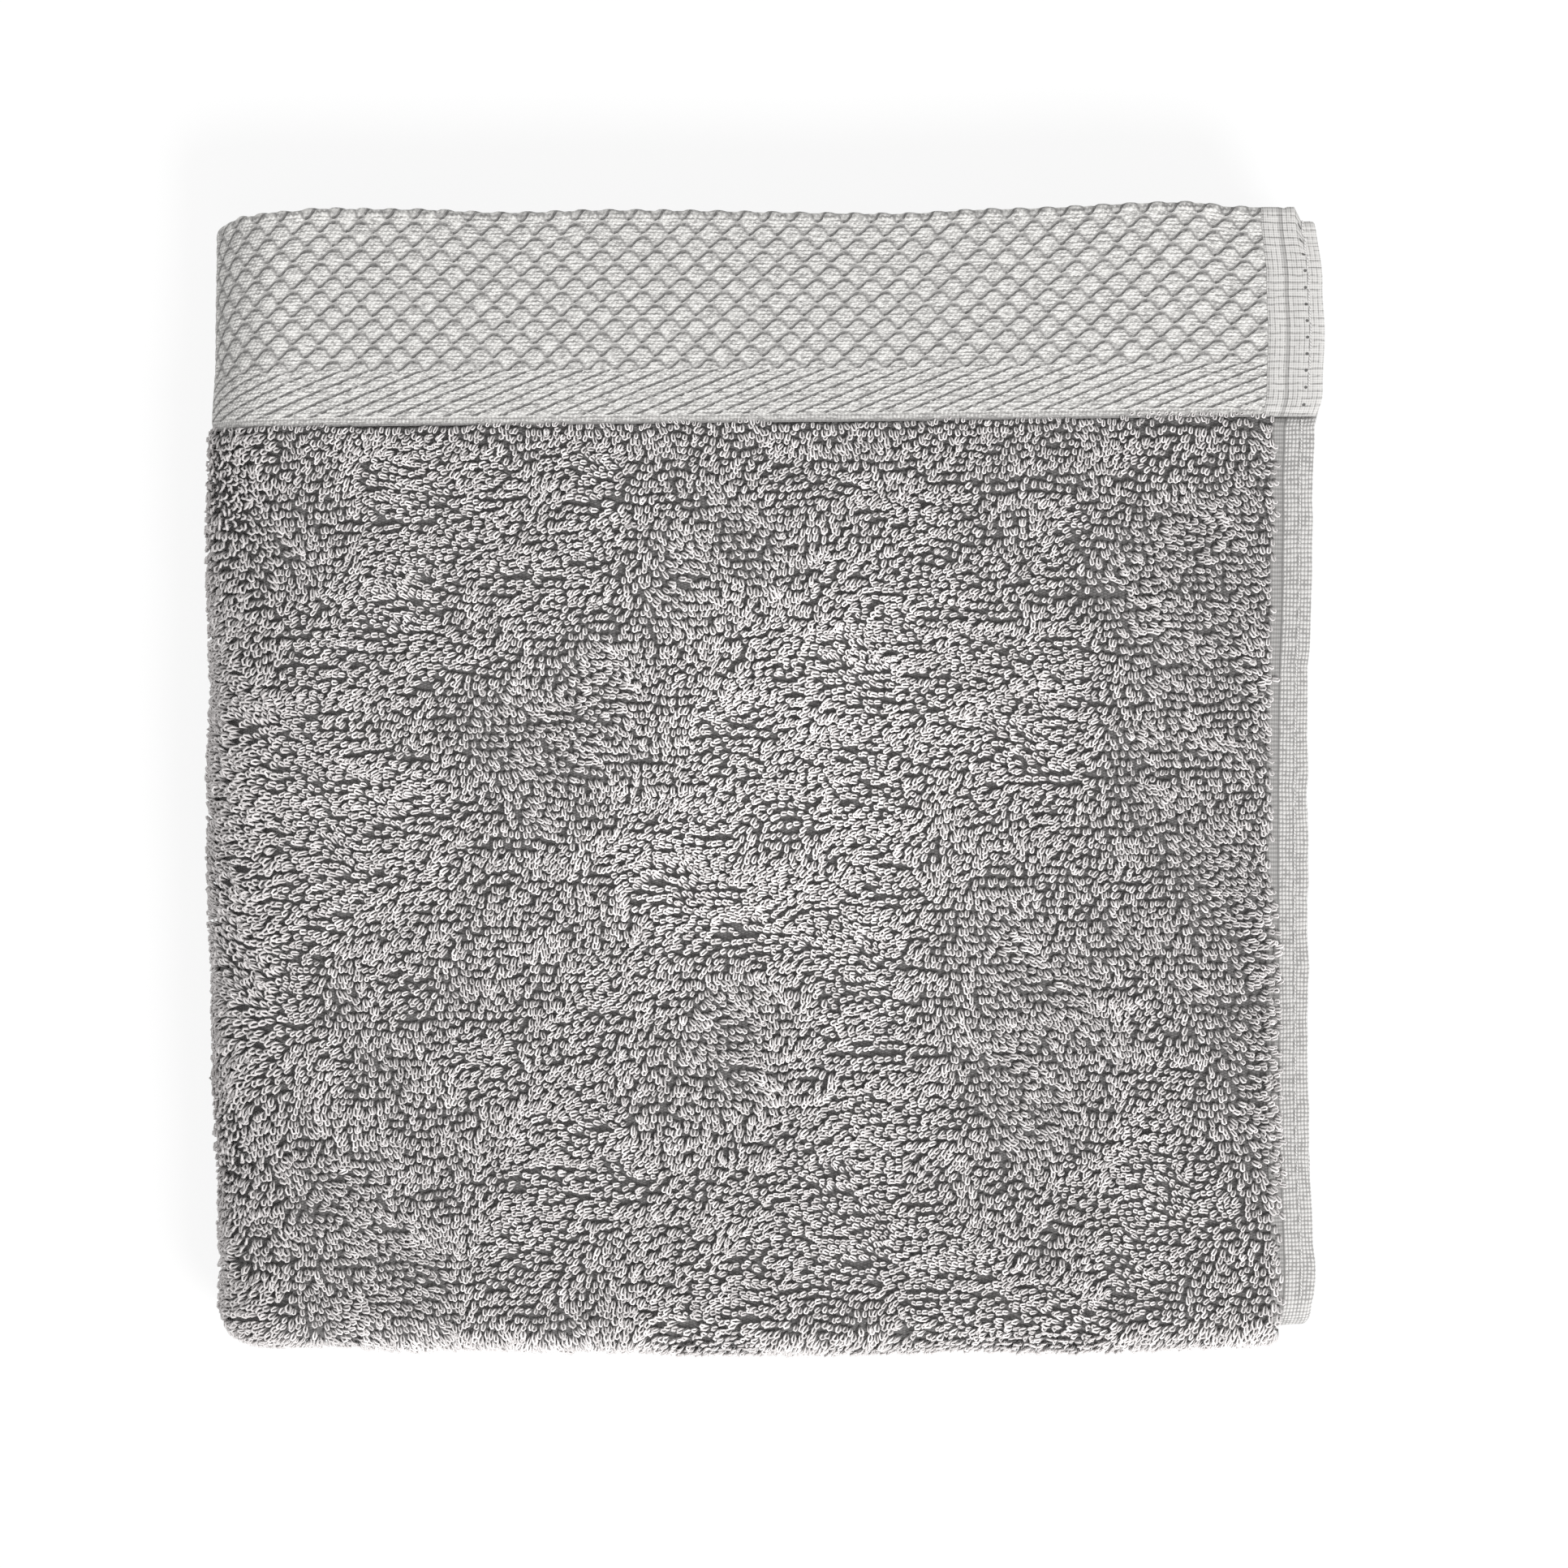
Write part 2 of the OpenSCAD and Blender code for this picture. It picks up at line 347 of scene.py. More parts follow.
class Wire:
    """One socket of a node tree. Arithmetic on wires adds the nodes that do it."""

    def __init__(self, tree, socket=None):
        self.tree = tree
        self.socket = socket

    def node(self, kind, settings=(), inputs=(), out=0):
        made = self.tree.nodes.new(kind)
        for name, value in dict(settings).items():
            setattr(made, name, value)
        for key, value in dict(inputs).items():
            if isinstance(value, Wire):
                self.tree.links.new(value.socket, made.inputs[key])
            else:
                made.inputs[key].default_value = value
        return Wire(self.tree, made.outputs[out])

    def out(self, name):
        """Another output of the same node."""
        return Wire(self.tree, self.socket.node.outputs[name])

    def into(self, socket):
        self.tree.links.new(self.socket, socket)

    def maths(self, operation, *values):
        return self.node("ShaderNodeMath", {"operation": operation}, dict(enumerate(values)))

    def __add__(self, other):
        return self.maths("ADD", self, other)

    def __sub__(self, other):
        return self.maths("SUBTRACT", self, other)

    def __rsub__(self, other):
        return self.maths("SUBTRACT", other, self)

    def __mul__(self, other):
        return self.maths("MULTIPLY", self, other)

    def __truediv__(self, other):
        return self.maths("DIVIDE", self, other)

    def __rtruediv__(self, other):
        return self.maths("DIVIDE", other, self)

    def __pow__(self, other):
        return self.maths("POWER", self, other)

    __radd__ = __add__
    __rmul__ = __mul__

    def sine(self):
        return self.maths("SINE", self)

    def cosine(self):
        return self.maths("COSINE", self)

    def wave(self):
        """0 at whole numbers, 1 half-way between."""
        return 0.5 - (self * (2 * math.pi)).cosine() * 0.5

    def smallest(self, other):
        return self.maths("MINIMUM", self, other)

    def largest(self, other):
        return self.maths("MAXIMUM", self, other)

    def fraction(self):
        return self.maths("FRACT", self)

    def eased(self, low, high):
        """0 at low and beyond, 1 at high and beyond, smooth between. low may be above high."""
        return self.node(
            "ShaderNodeMapRange", {"interpolation_type": "SMOOTHSTEP"},
            {"Value": self, "From Min": low, "From Max": high},
        )

    def parts(self):
        """The first two numbers of a vector."""
        made = self.node("ShaderNodeSeparateXYZ", (), {0: self})
        return made, made.out("Y")

    def vector(self, x, y, z=0.0):
        return self.node("ShaderNodeCombineXYZ", (), {0: x, 1: y, 2: z})

    def blend(self, share, first, second):
        """Mix of two colours, each a wire or (r, g, b)."""
        sides = {0: share}
        for key, colour in ((6, first), (7, second)):
            sides[key] = colour if isinstance(colour, Wire) else (*colour, 1)
        return self.node("ShaderNodeMix", {"data_type": "RGBA"}, sides, 2)

    def bump(self, height_mm):
        return self.node("ShaderNodeBump", (), {"Strength": 1.0, "Distance": MM, "Height": height_mm})

    def noise(self, scale, detail=2.0):
        """Noise over the object, scale in features per metre."""
        place = self.node("ShaderNodeTexCoord", (), (), 3)
        return self.node("ShaderNodeTexNoise", (), {"Vector": place, "Scale": scale, "Detail": detail})

    def cloth_place(self):
        """Distances across and along the cloth, in millimetres."""
        across, along = self.node("ShaderNodeUVMap", {"uv_map": "cloth"}).parts()
        return across * 1000.0, along * 1000.0


def cotton(name, sheen=0.2):
    """A new cotton material: the material, a wire to build its nodes with, its shader's inputs."""
    material = bpy.data.materials.new(name)
    material.use_nodes = True
    inputs = material.node_tree.nodes["Principled BSDF"].inputs
    inputs["Roughness"].default_value = 0.95
    inputs["Sheen Weight"].default_value = sheen
    inputs["Sheen Roughness"].default_value = 0.5
    inputs["Specular IOR Level"].default_value = 0.2
    return material, Wire(material.node_tree), inputs


# The cloth's line: from the outer border back to the far fold, under itself to
# the inner near fold, back again, and forward to the inner border
under_border = 1.8
cloth_line = Line((border_low.y + under_border, layer_mid(3)), math.pi, [
    ("run", border_low.y + under_border - far_y),
    ("turn", 1.5 * layer_pitch, math.pi),
    ("run", inner_y - far_y),
    ("turn", layer_pitch / 2, math.pi),
    ("run", inner_y - far_y),
    ("turn", layer_pitch / 2, -math.pi),
    ("run", inner_low.y - far_y),
])

ground_material, w, shader = cotton("terry_ground")
across, along = w.cloth_place()
ground_warp = 0.81
ground_weft = 0.64
every_other = (across / (2 * ground_warp)).fraction().eased(0.49, 0.51)
threads = (across / ground_warp).wave() * 0.5 + (along / ground_weft + every_other * 0.5).wave()
# Painted shade: the ground cloth is coloured far darker than the yarn, so that it stands for the deep shade
# between the loops.
w.blend(threads * 0.5, (0.09, 0.087, 0.086), (0.19, 0.184, 0.182)).into(shader["Base Color"])
w.bump(threads * 0.12).into(shader["Normal"])

ground_x = np.concatenate([
    np.linspace(fold_x - round_l * 0.95, fold_x, 9), np.linspace(fold_x, terry_x - 0.4, 24)[1:]
])
for half in HALVES:
    ground = strip(
        f"{half}_ground_cloth", half, cloth_line, 7.0, ground_x, ground_t, ground_material, bake_rows=4
    )
    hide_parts(f"{half}_terry")

# ---------------------------------------------------------------------------
# The pile: rings of soft twisted yarn on both faces of the ground cloth, woven
# in rows. They lean over each other in drifts and hang towards the far folds.

loop_pitch = (1.40, 1.62)


def loop_tree():
    """Geometry nodes that set a ring of yarn on each point, leaning along its hang."""
    tree = bpy.data.node_groups.new("pile_loops", "GeometryNodeTree")
    sockets = tree.interface
    sockets.new_socket("Geometry", in_out="INPUT", socket_type="NodeSocketGeometry")
    for name in ("Ring width", "Ring reach", "Ring height", "Yarn thickness", "Tuft size", "Lean spread"):
        sockets.new_socket(name, in_out="INPUT", socket_type="NodeSocketFloat")
    for name in ("Ring segments", "Seed"):
        sockets.new_socket(name, in_out="INPUT", socket_type="NodeSocketInt")
    sockets.new_socket("Material", in_out="INPUT", socket_type="NodeSocketMaterial")
    sockets.new_socket("Geometry", in_out="OUTPUT", socket_type="NodeSocketGeometry")
    w = Wire(tree)
    given = w.node("NodeGroupInput")
    width, reach, height = (given.out(n) for n in ("Ring width", "Ring reach", "Ring height"))
    seed = given.out("Seed")

    def stored(geometry, name, value, domain="POINT", kind="FLOAT"):
        return w.node(
            "GeometryNodeStoreNamedAttribute", {"data_type": kind, "domain": domain},
            {"Geometry": geometry, "Name": name, "Value": value},
        )

    def rolled(low, high, number):
        """A random value for each loop."""
        return w.node(
            "FunctionNodeRandomValue", {"data_type": "FLOAT"}, {2: low, 3: high, "Seed": seed + number}, 1
        )

    def read(name, kind="FLOAT"):
        return w.node("GeometryNodeInputNamedAttribute", {"data_type": kind}, {"Name": name})

    profile = w.node(
        "GeometryNodeCurvePrimitiveCircle", {"mode": "RADIUS"},
        {"Resolution": 3, "Radius": given.out("Yarn thickness") * 0.62},
    )
    profile = stored(profile, "around", w.node("GeometryNodeSplineParameter"))

    # Four rings, which differ in sway, twist and length; more segments lie near the tip
    rings = w.node("GeometryNodeJoinGeometry")
    shapes = ((0.15, 0.0, 1.0), (-0.35, 0.3, 0.84), (0.4, -0.3, 1.08), (-0.1, -0.15, 1.2))
    for lift, sway, stretch in shapes:
        circle = w.node(
            "GeometryNodeCurvePrimitiveCircle", {"mode": "RADIUS"},
            {"Resolution": given.out("Ring segments")},
        )
        angle = w.node("GeometryNodeSplineParameter") * (2 * math.pi)
        angle = angle + angle.sine() * 0.35
        along = (1 - angle.cosine()) / 2
        across = angle.sine() * along ** 0.5
        x = across * width * 0.65 + along * along * width * sway
        y = reach * stretch * along ** 0.85
        z = height * (along * 2.0).sine() + across * height * lift * 0.6
        ring = w.node(
            "GeometryNodeSetPosition", (), {"Geometry": circle, "Position": w.vector(x, y, z)}
        )
        ring = stored(ring, "along", along)
        mesh = w.node("GeometryNodeCurveToMesh", (), {0: ring, 1: profile})
        smooth = w.node("GeometryNodeSetShadeSmooth", (), {"Geometry": mesh})
        w.node("GeometryNodeGeometryToInstance", (), {0: smooth}).into(rings.socket.node.inputs[0])

    out = read("out", "FLOAT_VECTOR")
    place = w.node("GeometryNodeInputPosition")
    tufts = w.node(
        "ShaderNodeTexNoise", {"noise_dimensions": "4D"},
        {"Vector": place, "W": seed * 3.17 + 5, "Scale": 1 / given.out("Tuft size"), "Detail": 1.0},
    )
    swing = (tufts - 0.5) * given.out("Lean spread") * 4 + rolled(-0.4, 0.4, 1)
    lean = w.node(
        "ShaderNodeVectorRotate", {"rotation_type": "AXIS_ANGLE"},
        {"Vector": read("hang", "FLOAT_VECTOR"), "Axis": out, "Angle": swing},
    )
    turned = w.node(
        "FunctionNodeAxesToRotation", {"primary_axis": "Z", "secondary_axis": "Y"}, {0: out, 1: lean}
    )
    size = read("size")
    scale = w.vector(
        size * rolled(0.8, 1.15, 2), size * rolled(0.8, 1.15, 3) * (0.8 + tufts * 0.4),
        size * rolled(0.85, 1.1, 4) * (1.15 - tufts * 0.3),
    )
    variant = w.node("FunctionNodeRandomValue", {"data_type": "INT"}, {4: 0, 5: 3, "Seed": seed + 5}, 2)
    loops = w.node(
        "GeometryNodeInstanceOnPoints", (),
        {"Points": given.out("Geometry"), "Instance": rings, "Pick Instance": True,
         "Instance Index": variant, "Rotation": turned, "Scale": scale},
    )
    # The tone: random for each loop, with the tufts, plus the pale attribute, which holds the painted pool
    # of light in the middle and the painted shade towards the left fold.
    tone = rolled(0.0, 0.65, 6) + tufts * 0.25 + read("pale") - 0.12
    loops = stored(loops, "tone", tone.eased(0.0, 1.0), "INSTANCE")
    made = w.node("GeometryNodeRealizeInstances", (), {0: loops})
    baked = w.vector(read("tone") * 0.9 + read("around") * 0.03 + 0.04, read("along") * 0.9 + 0.05)
    made = stored(made, "OFBake", baked, "CORNER", "FLOAT2")
    made = w.node("GeometryNodeSetMaterial", (), {"Geometry": made, "Material": given.out("Material")})
    made.into(tree.nodes.new("NodeGroupOutput").inputs[0])
    return tree


pile_tree = loop_tree()
pile_material, w, shader = cotton("pile_yarn", 0.3)
tone, along = w.node("ShaderNodeUVMap", {"uv_map": "OFBake"}).parts()
# Painted shade and highlight: along each ring the colour runs from a near-black root, where shade falls
# among the loops, to a near-white tip; each loop's tone also differs at random.
painted_highlight_tip = w.blend(tone, (0.60, 0.574, 0.568), (0.96, 0.926, 0.918))
painted_shade_root = w.blend(tone, (0.06, 0.057, 0.056), (0.12, 0.114, 0.112))
w.blend(along.eased(0.06, 0.75), painted_shade_root, painted_highlight_tip).into(shader["Base Color"])

loop_sizes = {
    "Ring width": 0.88 * MM, "Ring reach": 1.72 * MM, "Ring height": pile_t * 0.93 * MM,
    "Yarn thickness": 0.40 * MM, "Tuft size": 0.008, "Lean spread": 0.7,
}
painted_light_centre = (4, 6)
painted_light_reach = 62
shaded_from = -96


def laid(name, half, tree, settings, points, **attributes):
    """One plain mesh that rides on its half: what the tree lays on points with these attributes."""
    host_mesh = bpy.data.meshes.new(name)
    host_mesh.from_pydata((points * MM).tolist(), [], [])
    for label, values in attributes.items():
        kind, key = ("FLOAT_VECTOR", "vector") if values.ndim == 2 else ("FLOAT", "value")
        host_mesh.attributes.new(label, kind, "POINT").data.foreach_set(key, values.reshape(-1))
    host = bpy.data.objects.new(name, host_mesh)
    bpy.context.scene.collection.objects.link(host)
    modifier = host.modifiers.new(name, "NODES")
    modifier.node_group = tree
    for item in tree.interface.items_tree:
        if item.in_out == "INPUT" and item.name in settings:
            modifier[item.identifier] = settings[item.name]
    mesh = bpy.data.meshes.new_from_object(host.evaluated_get(bpy.context.evaluated_depsgraph_get()))
    for label in (*attributes, "tone", "along", "around"):
        if label in mesh.attributes:
            mesh.attributes.remove(mesh.attributes[label])
    bpy.data.objects.remove(host)
    bpy.data.meshes.remove(host_mesh)
    mesh.name = name
    piece = bpy.data.objects.new(name, mesh)
    bpy.context.scene.collection.objects.link(piece)
    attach(piece, f"{half}_half")
    return piece


def lay_pile(name, half, patches, segments, seed, press=1.0):
    """The loops of some patches of places. A painted pool of light makes the middle paler, painted shade
    darkens the loops towards the left fold, and press flattens them.
    """
    points, out, hang, size = (np.concatenate(part) for part in zip(*patches))
    from_middle = np.hypot(points[:, 0] - painted_light_centre[0], points[:, 1] - painted_light_centre[1])
    # Painted light: a pale pool round the middle; painted shade: darker loops towards the left fold.
    pale = 0.42 * np.exp(-((from_middle / painted_light_reach) ** 2))
    pale = pale - 0.4 * np.clip((shaded_from - points[:, 0]) / 22, 0, 1)
    settings = {**loop_sizes, "Ring segments": segments, "Seed": seed, "Material": pile_material}
    settings["Ring height"] *= press
    piece = laid(name, half, pile_tree, settings, points, out=out, hang=hang, size=size, pale=pale)
    return piece


def combed(points, out, hang, seed):
    """The hanging directions as the pile was last stroked: in drifts, and outwards by the hem."""
    x, y, z = points.T
    turn = 1.7 * drift(x, y + z * 2, 36, seed) + 0.8 * drift(x, y + z * 2, 15, seed + 1)
    turn = turn - 0.45 + 1.1 * np.clip((x - 90) / 25, 0, 1)
    turn = turn * np.clip((border_low.y + 1 - y) / 9, 0.15, 1)
    turn = turn[:, None]
    return hang * np.cos(turn) + np.cross(out, hang) * np.sin(turn)


def loop_places(half, line, s_range, x_range, seed, spread=1.0, face=1, jitter=0.24):
    """Staggered rows of places: points, outward and hanging directions, and sizes. face -1 is inside."""
    side = HALVES[half]
    pitch = loop_pitch[0] * spread, loop_pitch[1] * spread
    rows = max(1, round((s_range[1] - s_range[0]) / pitch[1]))
    columns = max(1, round((x_range[1] - x_range[0]) / pitch[0]))
    i, j = np.meshgrid(np.arange(rows), np.arange(columns), indexing="ij")
    rng = np.random.RandomState(seed)
    s = s_range[0] + (i + 0.5) * (s_range[1] - s_range[0]) / rows
    x = x_range[0] + (j + 0.25 + 0.5 * (i % 2)) * (x_range[1] - x_range[0]) / columns
    s = (s + rng.uniform(-jitter, jitter, s.shape) * pitch[1] + 0.8 * drift(x, s, 8, 41)).ravel()
    s = s + 0.7 * drift(x.ravel() / 3.5, s, 4, 45)
    x = (x + rng.uniform(-jitter, jitter, x.shape) * pitch[0]).ravel()
    x = np.clip(x + 0.7 * drift(x, s, 8, 42), x_range[0], x_range[1])
    s = np.clip(s, 0.3, line.length)
    y, r, ny, nr = line.at(s, face * ground_t / 2)
    x = x + 1.9 * np.clip((x - 98) / 18, 0, 1) * np.clip((10 - y) / 70, 0, 1)
    points = settled(over_the_fold(side, x, y, r))
    out = outwards(side, x, face * ny, face * nr)
    hang = combed(points, out, outwards(side, x, -nr, ny), 51)
    size = (1 + 0.04 * drift(x, s, 24, 43) + 0.05 * drift(x, s, 7, 44)) * (1 + 0.8 * (spread - 1))
    size = size * (0.72 + 0.33 * np.clip(s / 2.5, 0, 1))
    return points, out, hang, size


def crease_cloth(half):
    """The ground cloth across the inside of the last fold, level with the innermost layer."""
    level = layer_mid(0)
    line = Line((far_y - 4, level), 0.0, [("run", inner_y - far_y + 2)])
    s = line.steps(8.0, (0.2, 0.8, line.length - 0.8, line.length - 0.2))
    columns = 12
    depth = np.linspace(0, 15.2, columns)
    depth = np.concatenate([depth, depth[::-1]])
    rim = rounded(np.minimum(s, line.length - s), 0.8)[:, None]
    face = np.repeat([ground_t / 2, -ground_t / 2], columns) * rim
    x = fold_x - half_t * np.arctan2(depth, level + face)
    out = level - np.hypot(depth, level + face)
    piece = surface(
        f"{half}_crease_cloth", half, line, s, x, out, ground_material, around=True, bake_rows=5
    )
    return piece


def crease_places(half, seed):
    """Places for the loops of the crease cloth, which shows when the towel is opened at the last fold."""
    side = HALVES[half]
    depth, along = np.meshgrid(np.arange(0.6, 16.4, 1.75), np.arange(-124.0, 117.0, 2.0), indexing="ij")
    rng = np.random.RandomState(seed)
    depth = (depth + rng.uniform(-0.4, 0.4, depth.shape)).ravel()
    along = (along + rng.uniform(-0.5, 0.5, along.shape)).ravel()
    kept = (along < border_low.y) | (depth < 11)
    depth, along = depth[kept], along[kept]
    level = np.full(depth.shape, mid_z + side * (half_gap / 2 + pile_t + 0.1))
    points = settled(np.stack([fold_x - depth, along, level], axis=1))
    out = np.tile([0.0, 0.0, -side], (len(depth), 1))
    hang = combed(points, out, np.tile([0.0, -1.0, 0.0], (len(depth), 1)), 51)
    return points, out, hang, np.full(len(depth), 1.12)


top_l = cloth_line.s[1]
mid_start = top_l + math.pi * 1.5 * layer_pitch
mid_end = mid_start + inner_y - far_y
near_end = mid_end + math.pi * layer_pitch / 2
edge_x = fold_x - round_l
whole_x = (edge_x, terry_x)
flat_x = (fold_x, terry_x)
hem_side_x = (terry_x - 3.2, terry_x)
hidden_spread = 1.65
mid_cuts = np.linspace(mid_start, mid_end, 3)
piles = {"upper": [], "lower": []}
for half in HALVES:
    # The upper half shows most, so its loops are close and fine; hidden ones are coarse and pressed
    fine = half == "upper"
    spread, segments, parts, press = (1.0, 6, 5, 1.0) if fine else (hidden_spread, 4, 2, 0.54)
    cuts = np.linspace(0.1, top_l, parts + 1)
    for k in range(parts):
        patch = loop_places(half, cloth_line, (cuts[k], cuts[k + 1]), flat_x, 11 + k, spread)
        piles[half].append(lay_pile(f"{half}_face_pile_{k + 1}", half, [patch], segments, 21 + k, press))
    spread, segments, press = (1.1, 5, 1.0) if fine else (1.2, 4, 0.75)
    turned = [
        loop_places(half, cloth_line, (cuts[0], top_l), (edge_x, fold_x), 31, spread),
        loop_places(half, cloth_line, (top_l, mid_start), whole_x, 32, spread * 0.9),
        loop_places(half, cloth_line, (mid_end, near_end), whole_x, 33, spread),
    ]
    turned = [(points, out, hang, 1.12 * size) for points, out, hang, size in turned]
    piles[half].append(lay_pile(f"{half}_fold_pile", half, turned, segments, 25, press))
    for k in range(2):
        patch = loop_places(half, cloth_line, (mid_cuts[k], mid_cuts[k + 1]), flat_x, 34 + k, hidden_spread)
        piles[half].append(lay_pile(f"{half}_inside_pile_{k + 1}", half, [patch], 4, 26 + k, 0.58))
    beside_hem = [
        loop_places(half, cloth_line, (1, cloth_line.length - 3), hem_side_x, 36, 1.2, -1),
        loop_places(half, cloth_line, (near_end, cloth_line.length - 3), hem_side_x, 37, 1.2),
        crease_places(half, 38),
    ]
    piles[half].append(lay_pile(f"{half}_edge_pile", half, beside_hem, 4, 28))
    piles[half].append(crease_cloth(half))

# ---------------------------------------------------------------------------
# The woven borders: flat weft cloth with rows of padded scales, a diagonal
# twill stripe and a plain line beside the terry. The outer one is turned over
# the near edge; the inner one lies flat in the stack.

border_t = 1.5
turned_end_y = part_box("upper_end_hem")[1].y / MM
border_out = border_high.z - mid_z
turn_radius = (border_t + layer_gap) / 2
turn_y = near_y - turn_radius - border_t / 2
border_line = Line((turned_end_y, border_out - 1.5 * border_t - layer_gap), 0.0, [
    ("run", turn_y - turned_end_y), ("turn", turn_radius, math.pi), ("run", turn_y - border_low.y),
])
scale_w = 6.2
row_h = 3.2
arch_h = 2.1
twill_low = 2.0
twill_high = 12.6
twill_pitch = 2.6
border_weft = 0.8


def arch(u):
    """A scale's outline over its width, u from 0 to 1: a long rise, a flat top, a short drop."""
    rise = np.clip(u / 0.52, 0, 1)
    drop = np.clip((1 - u) / 0.3, 0, 1)
    return rise * rise * (3 - 2 * rise) * drop * drop * (3 - 2 * drop)


def scale_gaps(x, v):
    """Distances of (x, v) over the outline below it and under the outline above it."""
    even = (v - arch_h * arch((x / scale_w) % 1)) % (2 * row_h)
    odd = (v - row_h - arch_h * arch((x / scale_w + 0.5) % 1)) % (2 * row_h)
    return even, odd


def border_relief(x, v):
    """Height of the border's surface in mm at x and v, the distance from the terry."""
    even, odd = scale_gaps(x, v - twill_high)
    below = np.minimum(even, odd)
    above = np.minimum(2 * row_h - even, 2 * row_h - odd)
    pillow = 1 - np.exp(-((np.minimum(below * 0.9, above) / 0.8) ** 1.4))
    twill = np.abs(((x / scale_w - v / twill_pitch) % 1) - 0.5) * 2
    twill = 0.75 - 0.55 * np.clip((twill - 0.55) / 0.45, 0, 1) ** 2
    share = np.clip((v - twill_high + 0.8) / 1.2, 0, 1)
    body = twill * (1 - share) + pillow * share
    plain = np.clip((v - twill_low + 0.4) / 0.5, 0, 1)
    body = 0.25 * (1 - plain) + body * plain
    groove = np.clip((v - 0.1) / 0.5, 0, 1)
    return 0.4 * (body * groove - 0.5 * (1 - groove))


border_material, w, shader = cotton("border_weave")
across, along = w.cloth_place()
x = across + edge_x
v = border_line.length - along
u_even = (x / scale_w).fraction()
u_odd = (x / scale_w + 0.5).fraction()
wobble = w.noise(260.0, 2.0) - 0.5
rough = w.noise(1100.0, 1.0) - 0.5
over = v - twill_high + wobble * 0.5 + rough * 0.35


def arch_wire(u):
    return u.eased(0, 0.52) * u.eased(1, 0.7)


even = ((over - arch_wire(u_even) * arch_h) / (2 * row_h)).fraction() * (2 * row_h)
odd = ((over - row_h - arch_wire(u_odd) * arch_h) / (2 * row_h)).fraction() * (2 * row_h)
# Painted shade in the crevices round the scales: dark outlines, strongest on the left and top flanks, which
# face away from the lamp, and faint on the right flank.
shade_by_flank_even = u_even.eased(0.82, 0.58) * 0.68 + 0.32
shade_by_flank_odd = u_odd.eased(0.82, 0.58) * 0.68 + 0.32
near_even = even.smallest(2 * row_h - even)
near_odd = odd.smallest(2 * row_h - odd)
crevice_shade_even = near_even.eased(0.42, 0.14) * shade_by_flank_even
crevice_shade_odd = near_odd.eased(0.42, 0.14) * shade_by_flank_odd
scale_crevice_shade = crevice_shade_even.largest(crevice_shade_odd)
# Painted shade: a broad darkening in the hollows round each padded scale.
pillow_edge_shade = near_even.smallest(near_odd).eased(1.3, 0.2) * 0.62
# Painted shade in the grooves of the twill stripe.
twill_phase = (x / scale_w - (v + wobble * 0.5 + rough * 0.4) / twill_pitch).fraction()
twill_groove_shade = twill_phase.smallest(1 - twill_phase).eased(0.16, 0.04) * (0.9 + rough * 2)
in_scales = v.eased(twill_high - 0.4, twill_high + 0.3)
in_twill = v.eased(twill_low - 0.1, twill_low + 0.3) * (1 - in_scales)
painted_groove_shade = scale_crevice_shade * (0.9 + rough * 2) * in_scales + twill_groove_shade * in_twill
# Painted shade in the groove where the border meets the terry.
groove = v.eased(0.75, 0.3)
stubs = (x / 0.85 + wobble * 1.5).wave() * 0.5 + (rough + 0.5) * 0.6
plain = v.eased(twill_low + 0.2, twill_low - 0.3) * (1 - stubs)

# Weft threads lie across; the warp crosses them in short slanted strokes
slant = x / 1.05 + v / border_weft * 0.5
thread_row = (v + (slant * (2 * math.pi)).sine() * 0.12 + wobble * 0.3 + rough * 0.3) / border_weft
threads = thread_row.wave()
strokes = (slant + wobble * 1.2 + rough * 0.6).wave() * 0.6 + 0.4
weave = threads * strokes
shade = w.noise(1400.0, 2.0) * 0.3 + 0.85
streaks = w.node(
    "ShaderNodeTexNoise", (), {"Vector": w.vector(x / 2.6, v / 0.55), "Scale": 1.0, "Detail": 3.0}
)
light = w.blend(weave.eased(0.04, 0.6), (0.15, 0.147, 0.142), (0.70, 0.69, 0.667))
light = w.blend(streaks.eased(0.36, 0.6) * 0.6, light, (0.92, 0.91, 0.88))
flecks = w.node(
    "ShaderNodeTexNoise", (), {"Vector": w.vector(x / 1.9, v / 0.62, 7.0), "Scale": 1.0, "Detail": 2.0}
)
light = w.blend(flecks.eased(0.5, 0.64) * 0.6, light, (0.12, 0.117, 0.114))
light = w.blend(pillow_edge_shade * in_scales, light, (0.20, 0.195, 0.19))
light = w.blend((plain * 0.9).largest(in_twill * 0.06), light, (0.16, 0.155, 0.15))
# The painted shade of the crevices and grooves goes on nearly black; it also sinks the bump.
dark = w.blend(painted_groove_shade, light, (0.03, 0.029, 0.028))
colour = w.blend(groove, dark, (0.10, 0.097, 0.095))
w.blend(shade - 0.75, colour, (0.5, 0.49, 0.48)).into(shader["Base Color"])
w.bump(weave * 0.16 - painted_groove_shade * 0.25 + shade * 0.04).into(shader["Normal"])

